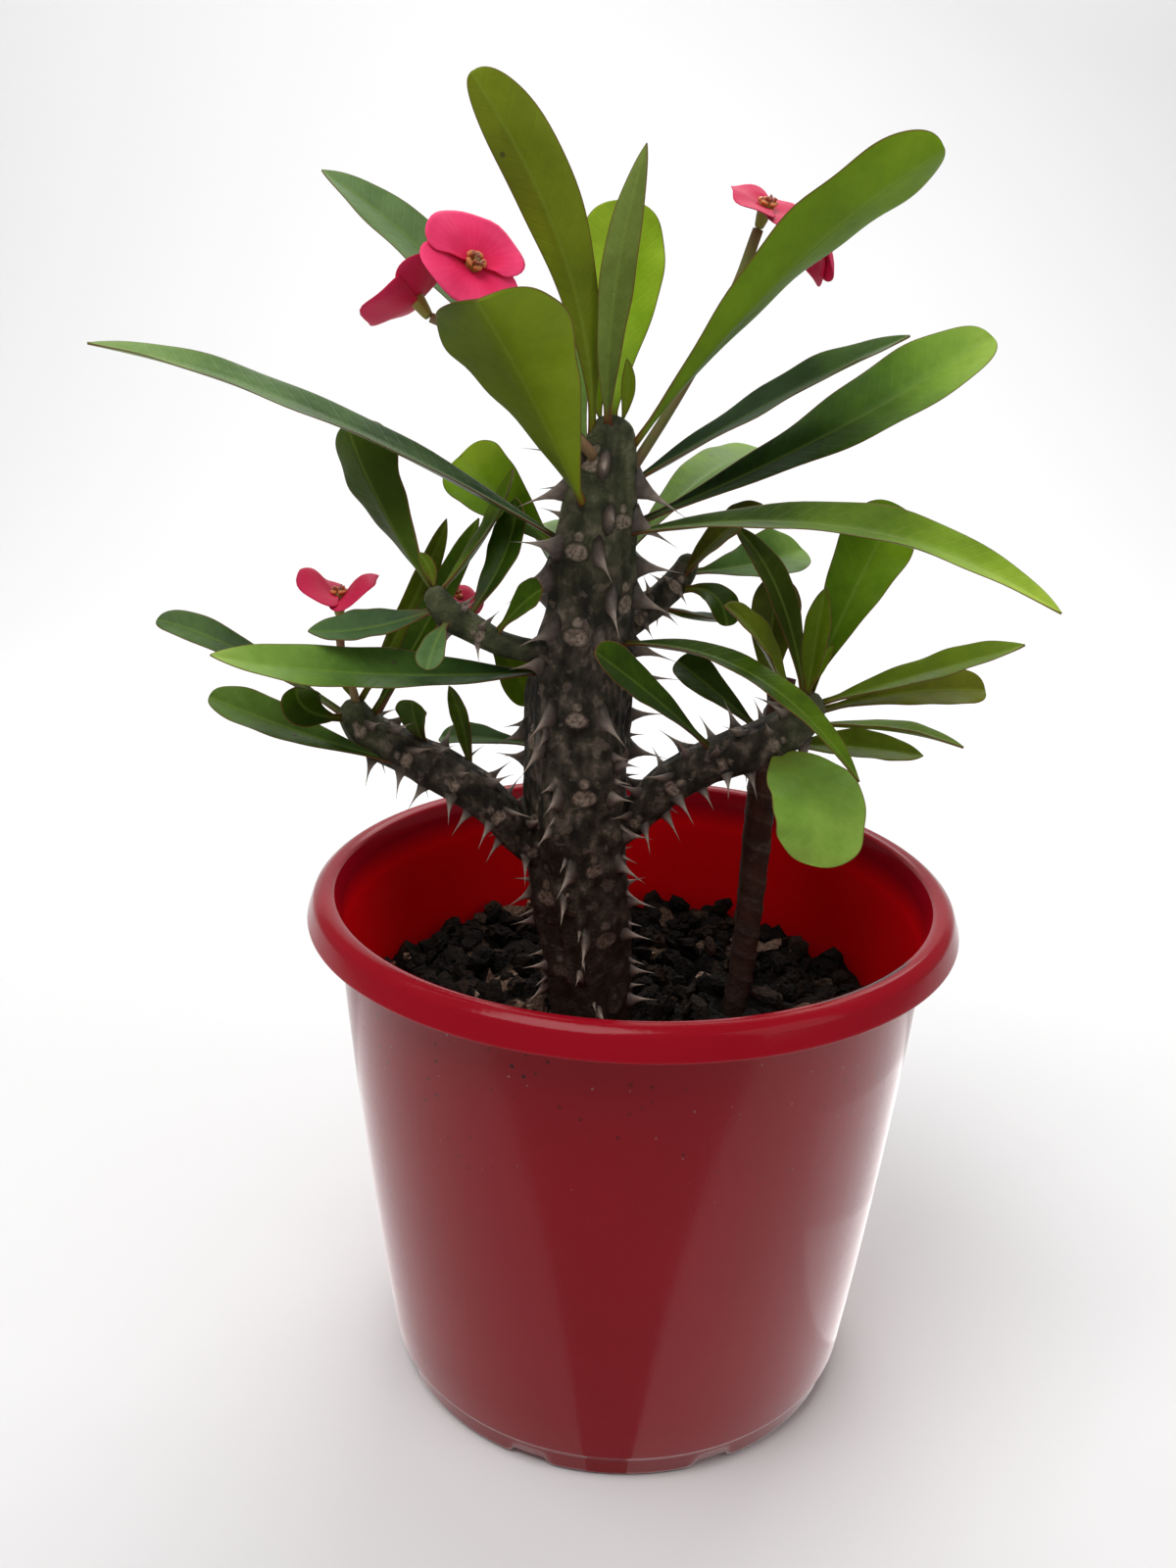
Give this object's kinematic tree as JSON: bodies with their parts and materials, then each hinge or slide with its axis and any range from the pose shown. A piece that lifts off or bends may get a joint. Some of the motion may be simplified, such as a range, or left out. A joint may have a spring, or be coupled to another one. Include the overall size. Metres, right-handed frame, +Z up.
{
  "type": "potted succulent plant",
  "caption": "Thorny flowering succulent with a ribbed spiny stem, paddle-shaped leaves and small pink-red blooms, in a red plastic pot with a turned-over lip.",
  "frame": {"origin": "middle of the pot's foot on the ground", "axes": "+Z up along the pot's axis, -Y towards the side seen in the picture, +X to that view's right"},
  "size_m": [0.2604, 0.2, 0.3892],
  "materials": {
    "pot": "satin crimson red plastic",
    "soil": "matt, nearly black soil with brown bark chips",
    "bark": "matt grey-brown succulent bark with buff leaf scars and grey thorns",
    "young_bark": "reddish-brown young stem with ring scars",
    "stalk": "satin green flower stalk",
    "bract": "soft crimson-pink bracts with yellow-orange glands",
    "leaf": "satin green blade with a paler midrib and a thin reddish margin"
  },
  "bodies": {
    "root": {"pot": "pot", "soil": "soil", "main_stem": "bark", "young_stem": "young_bark", "stalk_high_left": "stalk", "stalk_high_right": "stalk", "stalk_low_left": "stalk", "stalk_inner_left": "stalk", "bloom_high_left_front": "bract", "bloom_high_left_side": "bract", "bloom_high_right_front": "bract", "bloom_high_right_side": "bract", "bloom_low_left": "bract", "bloom_inner_left": "bract", "leaf_crown_tall": "leaf", "leaf_crown_folded": "leaf", "leaf_crown_bright": "leaf", "leaf_crown_big_right": "leaf", "leaf_crown_back_left": "leaf", "leaf_crown_front": "leaf", "leaf_long_left": "leaf", "leaf_right_broad": "leaf", "leaf_right_narrow": "leaf", "leaf_right_arching": "leaf", "leaf_behind_left": "leaf", "leaf_low_long": "leaf", "leaf_low_arching": "leaf", "leaf_side_right": "leaf", "leaf_hip_left": "leaf", "leaf_rear_high": "leaf", "leaf_rear_right": "leaf", "leaf_rear_low": "leaf", "leaf_upper_paddle": "leaf", "leaf_upper_folded": "leaf", "leaf_upper_dark": "leaf", "leaf_upper_near": "leaf", "leaf_upper_side": "leaf", "leaf_upper_small": "leaf", "leaf_upper_hanging": "leaf", "leaf_lower_rising": "leaf", "leaf_lower_long": "leaf", "leaf_lower_short": "leaf", "leaf_lower_rod": "leaf", "leaf_lower_blade": "leaf", "leaf_lower_bract": "leaf", "leaf_young_grey": "leaf", "leaf_back_brown": "leaf", "leaf_back_pale": "leaf", "leaf_back_hanging": "leaf", "leaf_right_curled": "leaf", "leaf_right_olive": "leaf", "leaf_right_upright": "leaf", "leaf_right_slip": "leaf", "leaf_right_level": "leaf", "leaf_right_grey": "leaf", "leaf_right_low": "leaf", "leaf_right_under": "leaf", "leaf_right_spoon": "leaf", "leaf_right_inner": "leaf", "leaf_young_round": "leaf"}
  },
  "joints": []
}
